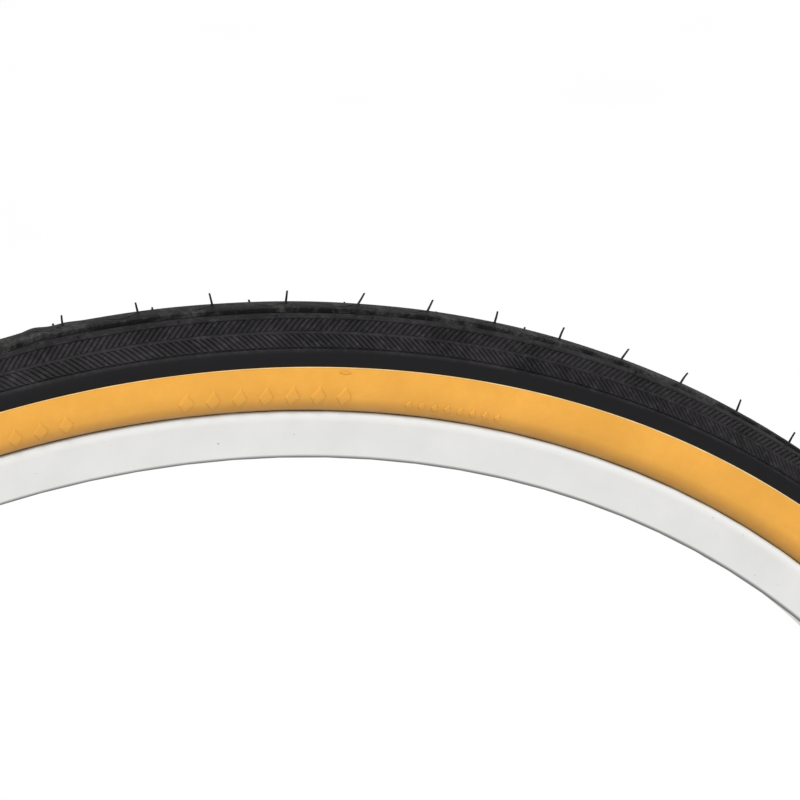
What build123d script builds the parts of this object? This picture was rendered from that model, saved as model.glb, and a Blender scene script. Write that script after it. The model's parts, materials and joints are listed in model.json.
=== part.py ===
"""A bicycle tire, seated on its rim and blown up on its inner tube.

The wheel's axle line is Y, +Z is up and the origin is the wheel's centre. Sections are drawn in the
plane of Y and Z: across the tire is the first number, and the distance from the axle line the second.
The size is 37-590, which is also sold as 26 x 1 3/8.
"""

import os
from math import acos, atan2, cos, degrees, hypot, radians, sin

from build123d import *

# ---- sizes, in millimetres and degrees ----

# rim, a box section with straight flanges
bead_seat_radius = 295.0
flange_height = 6.2
rim_depth = 13.8
rim_width = 22.5
flange_gap = 18.4
rim_corner = 1.0
well_width = 9.0
well_depth = 2.7
well_slope = 0.4
bed_wall = 1.5
side_wall = 1.6
well_wall = 1.2
spoke_count = 36
spoke_stagger = 1.0
eyelet_bore = 4.5
eyelet_barrel = 6.0
eyelet_flange = 8.0
eyelet_flange_thickness = 0.5
eyelet_roll = 7.0
eyelet_roll_height = 0.5
nipple_access = 6.4
sleeve_reach = 3.5
seat_gap = 0.03
rim_clearance = 0.05

# rim strip
strip_width = 8.8
strip_thickness = 0.8

# casing of the tire
section_height = 15.8
gum_radius = 17.0
gum_thickness = 0.9
ply_thickness = 0.5
breaker_half_angle = 35.0
breaker_thickness = 0.5
gum_top_angle = 73.0

# bead
wire_diameter = 0.96
wire_pitch = 1.15
wire_columns = 2
wire_rows = 3
bundle_clearance = 0.25
filler_height = 1.3
chafer_toe_thickness = 0.45
chafer_toe_height = 2.6
chafer_foot_round = 0.4

# tread, as arc lengths from the middle of the crown and depths below its own skin
crown_thickness = 1.8
shoulder_thickness = 1.5
tread_edge_step = 0.3
rib_edge = 3.5
groove_edge = 5.8
band_edge = 8.1
slot_edge = 8.5
spine_start = 13.0
spine_end = 13.85
lug_edge = 18.1
shadow_edge = 18.6
groove_depth = 1.5
groove_wall_lean = 0.35
slot_depth = 0.7
spine_height = 0.12
shadow_depth = 0.4

# vent hairs left by the mould
crown_hair_count = 96
crown_hair_length = 4.0
shoulder_hair_count = 72
shoulder_hair_length = 1.4
shoulder_hair_arc = 7.3
hair_diameter = 0.5

# inner tube
tube_wall = 0.9
tube_clearance = 0.1
stem_clearance = 0.3

# valve
valve_hole = 8.6
stem_cover_diameter = 8.2
stem_neck_diameter = 5.0
stem_foot_diameter = 5.7
stem_foot_thickness = 1.2
stem_length = 41.0
cover_length = 30.0
cover_taper = 0.5
insert_diameter = 5.8
insert_neck_diameter = 4.2
tip_diameter = 7.7
tip_chamfer = 0.5
air_bore = 3.0
core_bore = 4.9
core_depth = 15.0
core_body_length = 10.0
core_body_sink = 1.4
core_clearance = 0.04
pin_diameter = 0.9
pin_sink = 0.4
pin_collar_diameter = 2.6
pin_collar_thickness = 0.6
spring_pocket_diameter = 3.4
spring_pocket_roof = 4.0
spring_pocket_floor = 0.8
spring_wire = 0.3
spring_turns = 4.5
seal_diameter = 3.6
seal_thickness = 1.5
cap_diameter = 9.8
cap_end = 1.3
cap_skirt = 9.4
cap_bore_clearance = 0.07
cap_flutes = 18
cap_flute_depth = 0.35
gasket_diameter = 6.8
gasket_bore = 2.4
gasket_thickness = 0.8
gasket_gap = 0.05

# ---- worked out from them ----

on_plane = (Align.CENTER, Align.CENTER, Align.MIN)

flange_top = bead_seat_radius + flange_height
bed_radius = flange_top - rim_depth
flange_face = flange_gap / 2
flange_round = (rim_width - flange_gap) / 4
flange_w = flange_face + flange_round
flange_r = flange_top - flange_round
well_radius = bead_seat_radius - well_depth
section_r = bead_seat_radius + section_height
crown_radius = gum_radius + crown_thickness
shoulder_radius = gum_radius + shoulder_thickness

# the lower sidewall is an arc that leaves the widest point level and lands on the flange's round top
flange_wrap = flange_round + rim_clearance
reach = gum_radius + flange_wrap
drop = section_r - flange_r
side_arc_w = (reach**2 - flange_w**2 - drop**2) / (2 * (reach - flange_w))
side_arc_radius = gum_radius - side_arc_w
flange_turn = degrees(atan2(drop, flange_w - side_arc_w))

outer_ply_depth = gum_thickness
inner_ply_depth = gum_thickness + ply_thickness
lining_depth = inner_ply_depth + ply_thickness
bead_face = flange_face - rim_clearance

core_outer_w = bead_face - inner_ply_depth
bundle_width = (wire_columns - 1) * wire_pitch + wire_diameter
bundle_height = (wire_rows - 1) * wire_pitch + wire_diameter
core_width = bundle_width + 2 * bundle_clearance
core_inner_w = core_outer_w - core_width
core_foot = bead_seat_radius + inner_ply_depth
core_height = bundle_height + 2 * bundle_clearance
core_head = core_foot + core_height
toe_w = core_inner_w - ply_thickness - chafer_toe_thickness


# the inner ply follows the curl over the flange to here, then runs straight to the core's inner shoulder
core_away = hypot(flange_w - core_inner_w, flange_r - core_head)
ply_leave = 180 + degrees(atan2(flange_r - core_head, flange_w - core_inner_w)) - degrees(
    acos((flange_wrap + inner_ply_depth) / core_away)
)


def crown_point(radius, angle):
    """A point at a distance from the section's centre, at an angle from the crown."""
    return (radius * sin(radians(angle)), section_r + radius * cos(radians(angle)))


def curl_point(depth, angle):
    """A point under the skin of the curl over the flange, at an angle about the flange's round top."""
    radius = flange_wrap + depth
    return (flange_w + radius * cos(radians(angle)), flange_r + radius * sin(radians(angle)))


def straight_at(depth, w):
    """Where the straight run of the inner ply, at a depth, is this far from the middle."""
    start_w, start_r = curl_point(depth, ply_leave)
    return (w, start_r + (start_w - w) * cos(radians(ply_leave)) / sin(radians(ply_leave)))


def tread_angle(arc):
    """The angle from the crown of an arc length measured on the shoulder's radius."""
    return degrees(arc / shoulder_radius)


def wall_arcs(depth, top_angle):
    """The sidewall's line at a depth, from an angle beside the crown down to the bead's outer face."""
    upper = CenterArc((0, section_r), gum_radius - depth, 0, 90 - top_angle)
    CenterArc((side_arc_w, section_r), side_arc_radius - depth, -flange_turn, flange_turn)
    curl = CenterArc((flange_w, flange_r), flange_wrap + depth, 180 - flange_turn, flange_turn)
    return upper @ 1, curl @ 1


def crown_arc(radius, start_angle, end_angle):
    """A stretch of the tread's skin, given by its radius and its two angles from the crown."""
    return CenterArc((0, section_r), radius, 90 - start_angle, start_angle - end_angle)


def inner_wall(depth, w, foot):
    """The line of the inner ply at a depth, from the crown to the bead core and straight down to a foot."""
    CenterArc((0, section_r), gum_radius - depth, 0, 90)
    CenterArc((side_arc_w, section_r), side_arc_radius - depth, -flange_turn, flange_turn)
    curl = CenterArc(
        (flange_w, flange_r), flange_wrap + depth, 180 - flange_turn, ply_leave + flange_turn - 180
    )
    return Polyline(curl @ 1, straight_at(depth, w), (w, foot)) @ 1


def spoke_plane(k):
    """The plane at the rim's bed under spoke hole k, its Z pointing away from the axle."""
    turn = radians(-90 + (k + 0.5) * 360 / spoke_count)
    side = spoke_stagger if k % 2 else -spoke_stagger
    outward = (cos(turn), 0, sin(turn))
    return Plane(
        origin=(bed_radius * outward[0], side, bed_radius * outward[2]), x_dir=(0, 1, 0), z_dir=outward
    )


def hair_plane(radius, angle, turn):
    """The plane on the tread's skin under a hair, its Z pointing along the hair."""
    w, r = crown_point(radius, angle)
    lean = radians(angle)
    around = (cos(radians(turn)), sin(radians(turn)))
    normal = (cos(lean) * around[0], sin(lean), cos(lean) * around[1])
    side = (-sin(radians(turn)), 0, cos(radians(turn)))
    return Plane(origin=(r * around[0], w, r * around[1]), x_dir=side, z_dir=normal)


def box_outline(gap):
    """Half of the outline of the rim's hollow, drawn in by a gap."""
    side = rim_width / 2 - side_wall - gap
    shelf = bead_seat_radius - bed_wall - gap
    well_side = well_width / 2 + well_wall + gap
    return Polyline(
        (0, bed_radius + bed_wall + gap),
        (side, bed_radius + bed_wall + gap),
        (side, shelf),
        (well_side + well_slope, shelf),
        (well_side, well_radius - well_wall - gap),
        (0, well_radius - well_wall - gap),
    )


# ---- rim ----

with BuildPart() as rim:
    with BuildSketch(Plane.YZ):
        with BuildLine():
            bed = Line((0, bed_radius), (rim_width / 2 - rim_corner, bed_radius))
            corner = JernArc(bed @ 1, (1, 0), rim_corner, 90)
            track = Line(corner @ 1, (rim_width / 2, flange_r))
            lip = CenterArc((flange_w, flange_r), flange_round, 0, 180)
            Polyline(
                lip @ 1,
                (flange_face, bead_seat_radius),
                (well_width / 2 + well_slope, bead_seat_radius),
                (well_width / 2, well_radius),
                (0, well_radius),
            )
            mirror(about=Plane.YZ)
        make_face()
        with BuildLine():
            box_outline(0)
            mirror(about=Plane.YZ)
        make_face(mode=Mode.SUBTRACT)
    revolve(axis=Axis.Y)
    with Locations([spoke_plane(k) for k in range(spoke_count)]):
        Cylinder(eyelet_barrel / 2, 2 * bed_wall, mode=Mode.SUBTRACT)
    with Locations([spoke_plane(k).offset(well_radius - bed_radius) for k in range(spoke_count)]):
        Cylinder(nipple_access / 2, 2 * well_wall + 1, mode=Mode.SUBTRACT)
    with Locations(Plane((0, 0, -bed_radius))):
        Cylinder(valve_hole / 2, 2 * rim_depth, mode=Mode.SUBTRACT)
rim.part.label = "rim"

with BuildPart() as rim_joint_sleeve:
    with BuildSketch(Plane.YZ.rotated((0, -sleeve_reach, 0))):
        with BuildLine():
            box_outline(rim_clearance)
            mirror(about=Plane.YZ)
        make_face()
    revolve(axis=Axis.Y, revolution_arc=2 * sleeve_reach)
rim_joint_sleeve.part.label = "rim_joint_sleeve"

with BuildPart() as spoke_eyelets:
    for k in range(spoke_count):
        seat = spoke_plane(k).offset(-seat_gap)
        with Locations(seat.offset(-eyelet_flange_thickness)):
            Cylinder(eyelet_flange / 2, eyelet_flange_thickness, align=on_plane)
        with Locations(seat):
            Cylinder(eyelet_barrel / 2 - core_clearance, bed_wall + 2 * seat_gap, align=on_plane)
        with Locations(seat.offset(bed_wall + 2 * seat_gap)):
            Cylinder(eyelet_roll / 2, eyelet_roll_height, align=on_plane)
        with Locations(seat):
            Cylinder(eyelet_bore / 2, 4 * bed_wall, mode=Mode.SUBTRACT)
spoke_eyelets.part.label = "spoke_eyelets"

with BuildPart() as rim_strip:
    with BuildSketch(Plane.YZ):
        with Locations((0, well_radius)):
            Rectangle(strip_width, strip_thickness, align=(Align.CENTER, Align.MIN))
    revolve(axis=Axis.Y)
    with Locations(Plane((0, 0, -well_radius))):
        Cylinder(valve_hole / 2, 4 * strip_thickness, mode=Mode.SUBTRACT)
rim_strip.part.label = "rim_strip"

# ---- beads ----

with BuildPart() as chafer_right:
    with BuildSketch(Plane.YZ) as chafer_section:
        with BuildLine():
            Polyline(
                (toe_w, bead_seat_radius),
                (bead_face, bead_seat_radius),
                (bead_face, flange_r),
                (bead_face - gum_thickness, flange_r),
                (bead_face - gum_thickness, bead_seat_radius + gum_thickness),
                (core_inner_w - ply_thickness, bead_seat_radius + gum_thickness),
                (core_inner_w - ply_thickness, bead_seat_radius + chafer_toe_height),
                (toe_w, bead_seat_radius + chafer_toe_height),
                close=True,
            )
        make_face()
        foot = chafer_section.vertices().group_by(Axis.Y)[0]
        fillet(foot, chafer_foot_round)
    revolve(axis=Axis.Y)
chafer_right.part.label = "chafer_right"

with BuildPart() as bead_wires_right:
    with BuildSketch(Plane.YZ):
        with Locations((core_inner_w + core_width / 2, core_foot + core_height / 2)):
            with GridLocations(wire_pitch, wire_pitch, wire_columns, wire_rows):
                Circle(wire_diameter / 2)
    revolve(axis=Axis.Y)
bead_wires_right.part.label = "bead_wires_right"

with BuildPart() as bead_filler_right:
    with BuildSketch(Plane.YZ):
        with BuildLine():
            foot = Line((core_inner_w, core_head), (core_outer_w, core_head))
            heel = Line(foot @ 1, (core_outer_w, flange_r))
            curl = CenterArc((flange_w, flange_r), flange_wrap + inner_ply_depth, 180, ply_leave - 180)
            Line(curl @ 1, foot @ 0)
        make_face()
        with Locations((core_outer_w, core_head + filler_height)):
            Rectangle(2 * core_width, core_width, align=(Align.CENTER, Align.MIN), mode=Mode.SUBTRACT)
    revolve(axis=Axis.Y)
bead_filler_right.part.label = "bead_filler_right"

# ---- casing ----

with BuildPart() as casing_ply_outer:
    with BuildSketch(Plane.YZ):
        with BuildLine():
            top, bottom = wall_arcs(outer_ply_depth, 0)
            under_top, under_bottom = wall_arcs(inner_ply_depth, 0)
            Polyline(
                bottom,
                (bead_face - outer_ply_depth, bead_seat_radius + outer_ply_depth),
                (core_inner_w, bead_seat_radius + outer_ply_depth),
                (core_inner_w, core_foot),
                (core_outer_w, core_foot),
                under_bottom,
            )
            mirror(about=Plane.YZ)
        make_face()
    revolve(axis=Axis.Y)
casing_ply_outer.part.label = "casing_ply_outer"

with BuildPart() as casing_ply_inner:
    with BuildSketch(Plane.YZ):
        with BuildLine():
            ply_foot = bead_seat_radius + gum_thickness
            outside = inner_wall(inner_ply_depth, core_inner_w, ply_foot)
            inside = inner_wall(lining_depth, core_inner_w - ply_thickness, ply_foot)
            Line(outside, inside)
            mirror(about=Plane.YZ)
        make_face()
    revolve(axis=Axis.Y)
casing_ply_inner.part.label = "casing_ply_inner"

with BuildPart() as breaker_strip:
    with BuildSketch(Plane.YZ):
        with BuildLine():
            over = CenterArc(
                (0, section_r),
                gum_radius - gum_thickness + breaker_thickness,
                90 - breaker_half_angle,
                2 * breaker_half_angle,
            )
            under = CenterArc(
                (0, section_r), gum_radius - gum_thickness, 90 - breaker_half_angle, 2 * breaker_half_angle
            )
            Line(over @ 0, under @ 0)
            Line(over @ 1, under @ 1)
        make_face()
    revolve(axis=Axis.Y)
breaker_strip.part.label = "breaker_strip"

with BuildPart() as gum_sidewall_right:
    with BuildSketch(Plane.YZ):
        with BuildLine():
            skin_top, skin_bottom = wall_arcs(0, gum_top_angle)
            back_top, back_bottom = wall_arcs(gum_thickness, gum_top_angle)
            Line(skin_top, back_top)
            Line(skin_bottom, back_bottom)
        make_face()
    revolve(axis=Axis.Y)
gum_sidewall_right.part.label = "gum_sidewall_right"

# ---- tread ----

with BuildPart() as tread:
    with BuildSketch(Plane.YZ):
        with BuildLine():
            lean = degrees(groove_wall_lean / shoulder_radius)
            rib = crown_arc(crown_radius, 0, tread_angle(rib_edge))
            floor_radius = shoulder_radius - groove_depth
            floor = crown_arc(floor_radius, tread_angle(rib_edge) + lean, tread_angle(groove_edge) - lean)
            band = crown_arc(shoulder_radius, tread_angle(groove_edge), tread_angle(band_edge))
            slot = crown_arc(shoulder_radius - slot_depth, tread_angle(band_edge), tread_angle(slot_edge))
            upper_lugs = crown_arc(shoulder_radius, tread_angle(slot_edge), tread_angle(spine_start))
            spine_radius = shoulder_radius + spine_height
            spine = crown_arc(spine_radius, tread_angle(spine_start), tread_angle(spine_end))
            lower_lugs = crown_arc(shoulder_radius, tread_angle(spine_end), tread_angle(lug_edge))
            shadow = crown_arc(
                shoulder_radius - shadow_depth, tread_angle(lug_edge), tread_angle(shadow_edge)
            )
            flank = ThreePointArc(
                crown_point(shoulder_radius, tread_angle(shadow_edge)),
                crown_point(
                    (shoulder_radius + gum_radius + 2 * tread_edge_step) / 2,
                    (tread_angle(shadow_edge) + gum_top_angle) / 2,
                ),
                crown_point(gum_radius + tread_edge_step, gum_top_angle),
            )
            for before, after in (
                (rib, floor),
                (floor, band),
                (band, slot),
                (slot, upper_lugs),
                (upper_lugs, spine),
                (spine, lower_lugs),
                (lower_lugs, shadow),
                (shadow, flank),
            ):
                Line(before @ 1, after @ 0)
            seat = crown_arc(gum_radius - gum_thickness, gum_top_angle, breaker_half_angle)
            over_breaker = crown_arc(gum_radius - gum_thickness + breaker_thickness, breaker_half_angle, 0)
            Line(flank @ 1, seat @ 0)
            Line(seat @ 1, over_breaker @ 0)
            mirror(about=Plane.YZ)
        make_face()
    revolve(axis=Axis.Y)
tread.part.label = "tread"

with BuildPart() as vent_hairs_crown:
    crown_turns = [(n + 0.5) * 360 / crown_hair_count for n in range(crown_hair_count)]
    with Locations([hair_plane(crown_radius, 0, turn) for turn in crown_turns]):
        Cylinder(hair_diameter / 2, crown_hair_length, align=on_plane)
vent_hairs_crown.part.label = "vent_hairs_crown"

with BuildPart() as vent_hairs_shoulder:
    shoulder_turns = [n * 360 / shoulder_hair_count for n in range(shoulder_hair_count)]
    hair_angle = tread_angle(shoulder_hair_arc)
    with Locations(
        [hair_plane(shoulder_radius, side * hair_angle, turn) for turn in shoulder_turns for side in (-1, 1)]
    ):
        Cylinder(hair_diameter / 2, shoulder_hair_length, align=on_plane)
vent_hairs_shoulder.part.label = "vent_hairs_shoulder"

# ---- inner tube ----

tube_depth = lining_depth + tube_clearance
tube_neck_w = toe_w - tube_clearance
tube_foot = well_radius + strip_thickness + tube_clearance

with BuildPart() as inner_tube:
    with BuildSketch(Plane.YZ):
        with BuildLine():
            neck = inner_wall(tube_depth, tube_neck_w, tube_foot)
            Line(neck, (0, tube_foot))
            mirror(about=Plane.YZ)
        make_face()
        offset(amount=-tube_wall, mode=Mode.SUBTRACT)
    revolve(axis=Axis.Y)
    with Locations(Plane((0, 0, -tube_foot))):
        Cylinder(stem_neck_diameter / 2 + stem_clearance, 4 * tube_wall, mode=Mode.SUBTRACT)
inner_tube.part.label = "inner_tube"

# ---- valve, at the foot of the wheel and pointing up at the axle ----

tube_floor = tube_foot + tube_wall
stem_foot = -tube_floor - stem_clearance - stem_foot_thickness
stem_tip = stem_foot + stem_length
cover_end = stem_foot + cover_length
insert_step = -tube_foot + stem_clearance + stem_foot_thickness
core_seat = stem_tip - core_depth
core_top = stem_tip - core_body_sink
core_bottom = core_top - core_body_length
pocket_top = core_top - spring_pocket_roof
pocket_bottom = core_bottom + spring_pocket_floor
pin_top = stem_tip - pin_sink
collar_top = pocket_top - core_clearance
collar_bottom = collar_top - pin_collar_thickness
seal_top = core_bottom - core_clearance
seal_bottom = seal_top - seal_thickness

with BuildPart() as valve_stem_cover:
    with BuildSketch(Plane.XZ):
        with BuildLine():
            Polyline(
                (air_bore / 2, stem_foot),
                (stem_foot_diameter / 2, stem_foot),
                (stem_foot_diameter / 2, stem_foot + stem_foot_thickness),
                (stem_neck_diameter / 2, stem_foot + stem_foot_thickness),
                (stem_neck_diameter / 2, -tube_foot + stem_clearance),
                (stem_cover_diameter / 2, -tube_foot + stem_clearance),
                (stem_cover_diameter / 2, cover_end - cover_taper),
                (stem_cover_diameter / 2 - cover_taper, cover_end),
                (insert_diameter / 2, cover_end),
                (insert_diameter / 2, insert_step),
                (insert_neck_diameter / 2, insert_step),
                (insert_neck_diameter / 2, stem_foot + stem_foot_thickness),
                (air_bore / 2, stem_foot + stem_foot_thickness),
                close=True,
            )
        make_face()
    revolve(axis=Axis.Z)
valve_stem_cover.part.label = "valve_stem_cover"

with BuildPart() as valve_stem_tube:
    with BuildSketch(Plane.XZ):
        with BuildLine():
            Polyline(
                (air_bore / 2, stem_foot + stem_foot_thickness),
                (insert_neck_diameter / 2, stem_foot + stem_foot_thickness),
                (insert_neck_diameter / 2, insert_step),
                (insert_diameter / 2, insert_step),
                (insert_diameter / 2, cover_end),
                (tip_diameter / 2, cover_end),
                (tip_diameter / 2, stem_tip - tip_chamfer),
                (tip_diameter / 2 - tip_chamfer, stem_tip),
                (core_bore / 2, stem_tip),
                (core_bore / 2, core_seat),
                (air_bore / 2, core_seat),
                close=True,
            )
        make_face()
    revolve(axis=Axis.Z)
valve_stem_tube.part.label = "valve_stem_tube"

with BuildPart() as valve_core_body:
    with BuildSketch(Plane.XZ):
        with BuildLine():
            Polyline(
                (pin_diameter / 2 + core_clearance, core_bottom),
                (core_bore / 2 - core_clearance, core_bottom),
                (core_bore / 2 - core_clearance, core_top),
                (pin_diameter / 2 + core_clearance, core_top),
                (pin_diameter / 2 + core_clearance, pocket_top),
                (spring_pocket_diameter / 2, pocket_top),
                (spring_pocket_diameter / 2, pocket_bottom),
                (pin_diameter / 2 + core_clearance, pocket_bottom),
                close=True,
            )
        make_face()
    revolve(axis=Axis.Z)
valve_core_body.part.label = "valve_core_body"

with BuildPart() as valve_core_pin:
    with BuildSketch(Plane.XZ):
        with BuildLine():
            Polyline(
                (0, seal_bottom),
                (pin_diameter / 2, seal_bottom),
                (pin_diameter / 2, collar_bottom),
                (pin_collar_diameter / 2, collar_bottom),
                (pin_collar_diameter / 2, collar_top),
                (pin_diameter / 2, collar_top),
                (pin_diameter / 2, pin_top),
                (0, pin_top),
                close=True,
            )
        make_face()
    revolve(axis=Axis.Z)
valve_core_pin.part.label = "valve_core_pin"

with BuildPart() as valve_core_seal:
    with Locations((0, 0, seal_bottom)):
        Cylinder(seal_diameter / 2, seal_thickness, align=on_plane)
        Cylinder(pin_diameter / 2, seal_thickness, align=on_plane, mode=Mode.SUBTRACT)
valve_core_seal.part.label = "valve_core_seal"

spring_room = collar_bottom - pocket_bottom - spring_wire - 2 * core_clearance
spring_radius = (pin_diameter + spring_pocket_diameter) / 4
with BuildPart() as valve_core_spring:
    with BuildLine(Plane((0, 0, pocket_bottom + spring_wire / 2 + core_clearance))):
        coil = Helix(pitch=spring_room / spring_turns, height=spring_room, radius=spring_radius)
    with BuildSketch(Plane(origin=coil @ 0, z_dir=coil % 0)):
        Circle(spring_wire / 2)
    sweep(path=coil)
valve_core_spring.part.label = "valve_core_spring"

gasket_bottom = stem_tip + gasket_gap
cap_inside = gasket_bottom + gasket_thickness
with BuildPart() as valve_cap_gasket:
    with Locations((0, 0, gasket_bottom)):
        Cylinder(gasket_diameter / 2, gasket_thickness, align=on_plane)
        Cylinder(gasket_bore / 2, gasket_thickness, align=on_plane, mode=Mode.SUBTRACT)
valve_cap_gasket.part.label = "valve_cap_gasket"

with BuildPart() as valve_cap:
    with BuildSketch(Plane.XZ):
        with BuildLine():
            Polyline(
                (0, cap_inside),
                (tip_diameter / 2 + cap_bore_clearance, cap_inside),
                (tip_diameter / 2 + cap_bore_clearance, cap_inside - cap_skirt),
                (cap_diameter / 2, cap_inside - cap_skirt),
                (cap_diameter / 2, cap_inside + cap_end),
                (0, cap_inside + cap_end),
                close=True,
            )
        make_face()
    revolve(axis=Axis.Z)
    fillet(valve_cap.edges().group_by(Axis.Z)[-1], cap_end / 2)
    with Locations((0, 0, cap_inside - cap_skirt / 2)):
        with PolarLocations(cap_diameter / 2 + cap_flute_depth, cap_flutes):
            Cylinder(2 * cap_flute_depth, cap_skirt + cap_end, mode=Mode.SUBTRACT)
valve_cap.part.label = "valve_cap"

# ---- the left side mirrors the right ----

with BuildPart() as chafer_left:
    add(chafer_right.part.mirror(Plane.XZ))
chafer_left.part.label = "chafer_left"

with BuildPart() as bead_wires_left:
    add(bead_wires_right.part.mirror(Plane.XZ))
bead_wires_left.part.label = "bead_wires_left"

with BuildPart() as bead_filler_left:
    add(bead_filler_right.part.mirror(Plane.XZ))
bead_filler_left.part.label = "bead_filler_left"

with BuildPart() as gum_sidewall_left:
    add(gum_sidewall_right.part.mirror(Plane.XZ))
gum_sidewall_left.part.label = "gum_sidewall_left"

# ---- files ----

os.makedirs("parts", exist_ok=True)
for piece in (
    tread,
    vent_hairs_crown,
    vent_hairs_shoulder,
    breaker_strip,
    casing_ply_outer,
    casing_ply_inner,
    gum_sidewall_left,
    gum_sidewall_right,
    bead_wires_left,
    bead_wires_right,
    bead_filler_left,
    bead_filler_right,
    chafer_left,
    chafer_right,
    inner_tube,
    rim_strip,
    rim,
    rim_joint_sleeve,
    spoke_eyelets,
    valve_stem_cover,
    valve_stem_tube,
    valve_core_body,
    valve_core_pin,
    valve_core_seal,
    valve_core_spring,
    valve_cap_gasket,
    valve_cap,
):
    export_step(piece.part, f"parts/{piece.part.label}.step")
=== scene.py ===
"""The looks of a gumwall bicycle tire on its rim.

The wheel's axle line is Y and the origin is the wheel's centre. A place on the tire is given by its turn
round the axle from straight up, its arc across the tread from the middle of the crown, and its height
above the skin. The near side of the wheel is the left one, towards -Y.
"""

import json
import random
from math import atan2, cos, exp, hypot, pi, radians, sin

import bpy
from mathutils import Matrix, Vector, noise


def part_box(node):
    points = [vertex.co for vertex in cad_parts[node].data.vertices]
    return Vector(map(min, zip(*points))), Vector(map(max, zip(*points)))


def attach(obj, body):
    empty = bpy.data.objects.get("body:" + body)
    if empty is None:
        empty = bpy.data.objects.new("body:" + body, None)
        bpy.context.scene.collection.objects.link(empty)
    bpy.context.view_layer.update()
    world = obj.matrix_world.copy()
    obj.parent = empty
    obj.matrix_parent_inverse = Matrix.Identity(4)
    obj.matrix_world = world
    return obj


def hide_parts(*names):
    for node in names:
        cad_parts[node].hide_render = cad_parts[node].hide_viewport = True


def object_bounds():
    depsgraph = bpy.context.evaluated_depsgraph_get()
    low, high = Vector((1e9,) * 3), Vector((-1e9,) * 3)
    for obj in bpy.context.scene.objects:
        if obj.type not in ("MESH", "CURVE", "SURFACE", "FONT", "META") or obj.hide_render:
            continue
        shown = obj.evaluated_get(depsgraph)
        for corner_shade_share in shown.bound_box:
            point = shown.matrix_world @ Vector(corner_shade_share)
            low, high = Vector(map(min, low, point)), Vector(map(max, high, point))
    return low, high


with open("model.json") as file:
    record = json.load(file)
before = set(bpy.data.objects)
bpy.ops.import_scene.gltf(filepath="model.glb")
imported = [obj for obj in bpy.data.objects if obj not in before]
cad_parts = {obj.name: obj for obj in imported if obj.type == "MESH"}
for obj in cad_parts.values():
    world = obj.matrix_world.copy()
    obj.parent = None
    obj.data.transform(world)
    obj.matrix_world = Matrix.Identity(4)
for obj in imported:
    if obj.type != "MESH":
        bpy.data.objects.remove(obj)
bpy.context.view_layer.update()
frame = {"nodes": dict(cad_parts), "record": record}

MM = 0.001
FULL_TURN = 2 * pi
MERGE = 1e-6
random.seed(37)

# ---- sizes ----

# the tire's section, about a centre line that runs round the wheel
CROWN_RADIUS = 18.8 * MM
SHOULDER_RADIUS = 18.5 * MM
GUM_RADIUS = 17.0 * MM
GUM_THICKNESS = 0.9 * MM
CROWN_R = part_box("tread")[1][2]
SECTION_R = CROWN_R - CROWN_RADIUS
TREAD_EDGE = radians(73.0)
TREAD_STEP = 0.3 * MM
FLANK_STEPS = 12
FLANK_CURVE = 1.6
FLANK_RIPPLE = 0.05 * MM
RIPPLED_STEPS = (4, 7, 10)

# how far the moulded skins wander in and out, and over what length
TREAD_WANDER = (0.12 * MM, 30 * MM)
WALL_WANDER = (0.1 * MM, 25 * MM)

# the rim
FLANGE_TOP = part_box("rim")[1][2]
RIM_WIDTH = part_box("rim")[1][1] * 2
RIM_DEPTH = 13.8 * MM

# the tread, as arcs from the middle of the crown
RIB_EDGE = 3.5 * MM
GROOVE_EDGE = 5.8 * MM
LINE_START = 7.3 * MM
BAND_EDGE = 8.1 * MM
SLOT_EDGE = 8.5 * MM
SPINE_START = 13.0 * MM
SPINE_END = 13.85 * MM
LUG_EDGE = 18.1 * MM
SHADOW_EDGE = 18.6 * MM
GROOVE_DEPTH = 1.5 * MM
RIB_SEAT = 1.3 * MM
LINE_HEIGHT = 0.1 * MM
SLOT_DEPTH = 0.7 * MM
LUG_DEPTH = 0.5 * MM
SPINE_HEIGHT = 0.12 * MM
SHADOW_DEPTH = 0.4 * MM
WALL_LEAN = 0.2 * MM

# what repeats round the tread
REPEATS = 96
LUGS_PER_REPEAT = 12
REPEAT_TURN = FULL_TURN / REPEATS
LUG_TURN = REPEAT_TURN / LUGS_PER_REPEAT
LUG_BASE = 0.78
LUG_TOP = 0.54
LUG_SLANT = 0.85
LUG_END_INSET = 0.12 * MM
LUG_SINK = 0.05 * MM
SIPE_START = 0.14
SIPE_END = 0.86
SIPE_SWING = 1.9 * MM
SIPE_WIDTH = 0.5 * MM
SIPE_DEPTH = 0.9 * MM
SIPE_FLOOR = 0.45
SIPE_RAMP = 0.06
# the stretch of one full wave that a sipe follows
WAVE_START = 0.03
WAVE_SPAN = 0.92
WAVE_END = 0.95
PIT_REACH = 0.045
PIT_DEPTH = 0.5 * MM
RIB_ROWS = 60
RIB_COLUMNS = 13
RIB_BEVEL = 0.3 * MM
RIB_CORNER = 0.1 * MM
RIB_CORNER_DROP = 0.15 * MM
RIB_LAP = 0.1 * MM
RIB_GRAIN = 0.05 * MM

RING_STEPS = 576

# the moulding hairs
HAIR_FOOT = 0.36 * MM
HAIR_TIP = 0.27 * MM
HAIR_PHASE = radians(2.125)
HAIR_LEANS = {-3: -0.15, -2: -0.12, -1: -0.2, 0: -0.25, 1: 0.05, 2: 0.5, 3: 0.3, 4: 0.05, 5: -0.05}
SHOULDER_HAIRS = 72
SHOULDER_HAIR_ARC = 7.3 * MM
SHOULDER_HAIR_PHASE = {-1: 0.0, 1: 0.89}
# the shortest and the longest hair, and the least and the greatest lean and curl
HAIR_LENGTH = (3.3, 3.8)
HAIR_LEAN = (-0.3, 0.35)
HAIR_CURL = (-0.08, 0.12)
SHOULDER_HAIR_LENGTH = (0.6, 1.4)
SHOULDER_HAIR_LEAN = (-0.3, 0.3)

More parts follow.
